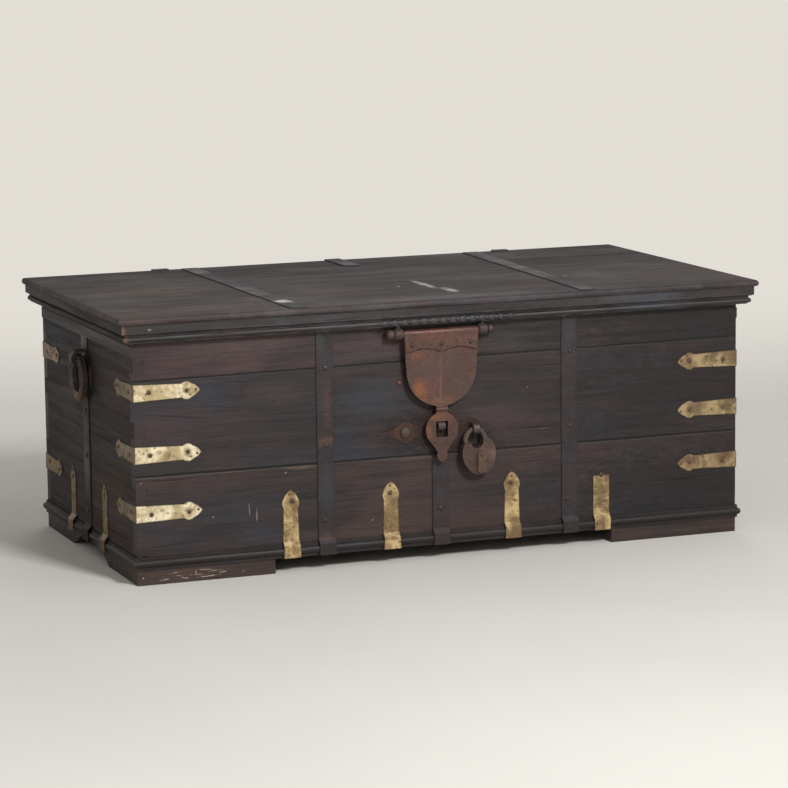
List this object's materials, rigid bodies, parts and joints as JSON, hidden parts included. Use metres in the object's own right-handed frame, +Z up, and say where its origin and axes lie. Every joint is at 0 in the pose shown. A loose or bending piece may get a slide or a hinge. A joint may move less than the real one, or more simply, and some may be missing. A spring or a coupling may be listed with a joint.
{
  "type": "storage chest",
  "caption": "Low plank storage chest with a moulded hinged lid, iron and brass straps, a hanging hasp with a drop plate, a padlock and ring handles on its ends.",
  "frame": {"origin": "centre of the overall box on the floor plane, under the middle of the carcass", "axes": "+Z up, front with the hasp faces -Y, +X to the right seen from the front"},
  "size_m": [1.264, 0.668, 0.492],
  "materials": {
    "body_wood": "dark brown, worn, semi-matt",
    "moulding_wood": "very dark brown, worn edges",
    "lid_wood": "dark grey brown, dusty and worn",
    "batten_wood": "reddish brown, worn",
    "strap_iron": "dark forged iron with brown rust",
    "fitting_iron": "forged iron, rusted brown",
    "rusty_iron": "orange-red rust",
    "padlock_iron": "purple-brown patina",
    "key_cover_brass": "dull greenish brass",
    "brass": "pale worn brass with dark spots"
  },
  "bodies": {
    "carcass": {"back_plank_lower": "body_wood", "back_plank_middle": "body_wood", "back_plank_upper": "body_wood", "base_moulding_back": "moulding_wood", "base_moulding_front": "moulding_wood", "base_moulding_left": "moulding_wood", "base_moulding_right": "moulding_wood", "base_straps_ends": "brass", "base_straps_front": "brass", "bottom_boards": "body_wood", "corner_straps_back_left": "brass", "corner_straps_back_right": "brass", "corner_straps_front_left": "brass", "corner_straps_front_right": "brass", "end_battens": "batten_wood", "end_straps": "strap_iron", "foot_back_left": "body_wood", "foot_back_right": "body_wood", "foot_front_left": "body_wood", "foot_front_right": "body_wood", "front_plank_lower": "body_wood", "front_plank_middle": "body_wood", "front_plank_upper": "body_wood", "front_strap_centre": "strap_iron", "front_strap_left": "strap_iron", "front_strap_right": "strap_iron", "handle_staples": "fitting_iron", "hasp_staple": "fitting_iron", "hinge_lower_leaves": "strap_iron", "hinge_pins": "strap_iron", "left_end_plank_lower": "body_wood", "left_end_plank_upper": "body_wood", "lock_nail": "fitting_iron", "lock_plate": "brass", "padlock_staple": "fitting_iron", "right_end_plank_lower": "body_wood", "right_end_plank_upper": "body_wood"},
    "lid": {"lid_board_front": "lid_wood", "lid_board_middle": "lid_wood", "lid_board_back": "lid_wood", "lid_moulding_front": "moulding_wood", "lid_moulding_left": "moulding_wood", "lid_moulding_right": "moulding_wood", "lid_battens": "body_wood", "lid_straps": "strap_iron", "hinge_upper_leaves": "strap_iron", "hasp_rod": "fitting_iron", "hasp_eyes": "fitting_iron"},
    "hasp": {"hasp_shield": "fitting_iron", "hasp_wrap": "fitting_iron", "hasp_rivets": "fitting_iron"},
    "drop": {"drop_plate": "rusty_iron", "drop_pin": "fitting_iron"},
    "shackle": {"shackle": "padlock_iron"},
    "padlock": {"padlock_body": "padlock_iron"},
    "key_cover": {"key_cover": "key_cover_brass"},
    "ring_left": {"ring_left": "fitting_iron"},
    "ring_right": {"ring_right": "fitting_iron"}
  },
  "joints": [
    {"name": "lid_hinge", "type": "hinge", "parent": "carcass", "child": "lid", "pos_m": [0, 0.312, 0.4707], "axis": [-1, 0, 0], "range_deg": [0, 95]},
    {"name": "hasp_hinge", "type": "hinge", "parent": "lid", "child": "hasp", "pos_m": [-0.014, -0.314, 0.428], "axis": [-1, 0, 0], "range_deg": [0, 120]},
    {"name": "drop_hinge", "type": "hinge", "parent": "hasp", "child": "drop", "pos_m": [-0.014, -0.3178, 0.2845], "axis": [-1, 0, 0], "range_deg": [0, 120]},
    {"name": "shackle_swing", "type": "hinge", "parent": "carcass", "child": "shackle", "pos_m": [0.053, -0.316, 0.2231], "axis": [0, 1, 0], "range_deg": [-50, 0]},
    {"name": "padlock_open", "type": "hinge", "parent": "shackle", "child": "padlock", "pos_m": [0.0731, -0.316, 0.21852], "axis": [0, -1, 0], "range_deg": [0, 70]},
    {"name": "key_cover_swing", "type": "hinge", "parent": "padlock", "child": "key_cover", "pos_m": [0.06313, -0.3263, 0.19442], "axis": [0, 1, 0], "range_deg": [-75, 75]},
    {"name": "ring_left_swing", "type": "hinge", "parent": "carcass", "child": "ring_left", "pos_m": [-0.6135, 0.006, 0.375], "axis": [0, 1, 0], "range_deg": [0, 110]},
    {"name": "ring_right_swing", "type": "hinge", "parent": "carcass", "child": "ring_right", "pos_m": [0.6135, 0.006, 0.375], "axis": [0, -1, 0], "range_deg": [0, 110]}
  ]
}
